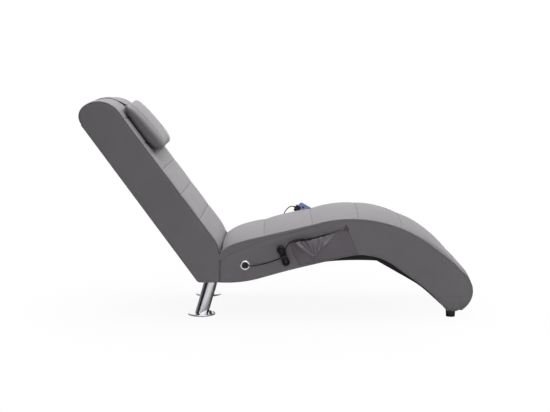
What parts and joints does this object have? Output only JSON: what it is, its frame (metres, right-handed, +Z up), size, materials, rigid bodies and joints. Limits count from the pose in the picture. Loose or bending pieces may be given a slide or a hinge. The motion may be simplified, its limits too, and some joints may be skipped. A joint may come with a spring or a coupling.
{
  "type": "massage lounger",
  "caption": "Upholstered S-shaped chaise with a reclined channelled back, strapped head pillow, vibration units, side pockets, tied leads, wired handset, chrome rear legs and black front feet.",
  "frame": {"origin": "on the floor under the middle of the lounger's length and width", "axes": "+X towards the foot end, +Y across towards the side with the handset, +Z up"},
  "size_m": [1.5061, 0.564, 0.8321],
  "materials": {
    "upholstery": "mid-grey coated leathercloth, fine grain, soft sheen",
    "pocket_cloth": "mid-grey leathercloth, unlined, gathered at the top edge",
    "dust_cloth": "black non-woven cloth",
    "plywood": "raw birch plywood",
    "softwood": "raw sawn pine",
    "spring_steel": "dull drawn wire",
    "zinc_steel": "zinc plated",
    "chrome": "bright chrome plate",
    "felt": "dark felt",
    "black_plastic": "fine matt moulding",
    "circuit_board": "green board",
    "cord_rubber": "soft satin jacket",
    "tie_wire": "plastic-coated twist tie",
    "blue_plastic": "pale blue moulding, satin",
    "button_plastic": "dark blue moulding, satin"
  },
  "bodies": {
    "lounger": {"back_cheek_far": "plywood", "back_cheek_near": "plywood", "back_pad": "upholstery", "back_rails": "softwood", "back_rear_cover": "upholstery", "back_side_cover_far": "upholstery", "back_side_cover_near": "upholstery", "back_springs": "spring_steel", "control_board": "circuit_board", "control_box_base": "black_plastic", "control_box_lid": "black_plastic", "dust_cover": "dust_cloth", "front_feet": "black_plastic", "front_foot_screws": "zinc_steel", "grommets": "chrome", "handset_lead_end": "cord_rubber", "handset_lead_hank": "cord_rubber", "handset_lead_start": "cord_rubber", "joint_bolts": "zinc_steel", "joint_nuts": "zinc_steel", "lead_ties": "tie_wire", "leg_base_far": "chrome", "leg_base_near": "chrome", "leg_felts": "felt", "leg_screws": "zinc_steel", "leg_top_plates": "zinc_steel", "leg_tube_far": "chrome", "leg_tube_near": "chrome", "motor_blocks": "black_plastic", "motors": "zinc_steel", "pocket_far": "pocket_cloth", "pocket_near": "pocket_cloth", "power_lead_end": "cord_rubber", "power_lead_hank": "cord_rubber", "power_lead_start": "cord_rubber", "power_plug": "cord_rubber", "seat_cheek_far": "plywood", "seat_cheek_near": "plywood", "seat_pad": "upholstery", "seat_rails": "softwood", "seat_side_cover_far": "upholstery", "seat_side_cover_near": "upholstery", "seat_springs": "spring_steel", "wiring": "cord_rubber"},
    "pillow": {"pillow": "upholstery", "pillow_strap": "upholstery"},
    "handset": {"handset_shell": "blue_plastic", "handset_face": "blue_plastic", "handset_board": "circuit_board", "handset_relief": "cord_rubber"},
    "button_power": {"button_power": "button_plastic"},
    "button_mode": {"button_mode": "button_plastic"},
    "button_speed": {"button_speed": "button_plastic"},
    "button_zone": {"button_zone": "button_plastic"},
    "rotor_lumbar": {"rotor_lumbar": "zinc_steel"},
    "rotor_upper_back": {"rotor_upper_back": "zinc_steel"},
    "rotor_thigh": {"rotor_thigh": "zinc_steel"},
    "rotor_knee": {"rotor_knee": "zinc_steel"},
    "rotor_calf": {"rotor_calf": "zinc_steel"}
  },
  "joints": [
    {"name": "pillow_slide", "type": "slide", "parent": "lounger", "child": "pillow", "axis": [0.5948, 0, -0.8039], "range_m": [0, 0.1], "deforming": ["pillow_strap"]},
    {"name": "handset_lift", "type": "slide", "parent": "lounger", "child": "handset", "axis": [0, 0, 1], "range_m": [0, 0.12], "deforming": ["handset_lead_end"]},
    {"name": "button_power_press", "type": "slide", "parent": "handset", "child": "button_power", "axis": [0, 1, 0], "range_m": [0, 0.0012], "stiffness_N_per_m": 400},
    {"name": "button_mode_press", "type": "slide", "parent": "handset", "child": "button_mode", "axis": [0, 1, 0], "range_m": [0, 0.0012], "stiffness_N_per_m": 400},
    {"name": "button_speed_press", "type": "slide", "parent": "handset", "child": "button_speed", "axis": [0, 1, 0], "range_m": [0, 0.0012], "stiffness_N_per_m": 400},
    {"name": "button_zone_press", "type": "slide", "parent": "handset", "child": "button_zone", "axis": [0, 1, 0], "range_m": [0, 0.0012], "stiffness_N_per_m": 400},
    {"name": "rotor_lumbar_spin", "type": "hinge", "parent": "lounger", "child": "rotor_lumbar", "pos_m": [-0.48245, 0, 0.48867], "axis": [0, 1, 0], "continuous": true},
    {"name": "rotor_upper_back_spin", "type": "hinge", "parent": "lounger", "child": "rotor_upper_back", "pos_m": [-0.64305, 0, 0.70571], "axis": [0, 1, 0], "continuous": true},
    {"name": "rotor_thigh_spin", "type": "hinge", "parent": "lounger", "child": "rotor_thigh", "pos_m": [0.0521, 0, 0.24312], "axis": [0, 1, 0], "continuous": true},
    {"name": "rotor_knee_spin", "type": "hinge", "parent": "lounger", "child": "rotor_knee", "pos_m": [0.35064, 0, 0.27912], "axis": [0, 1, 0], "continuous": true},
    {"name": "rotor_calf_spin", "type": "hinge", "parent": "lounger", "child": "rotor_calf", "pos_m": [0.49609, 0, 0.22534], "axis": [0, 1, 0], "continuous": true}
  ]
}
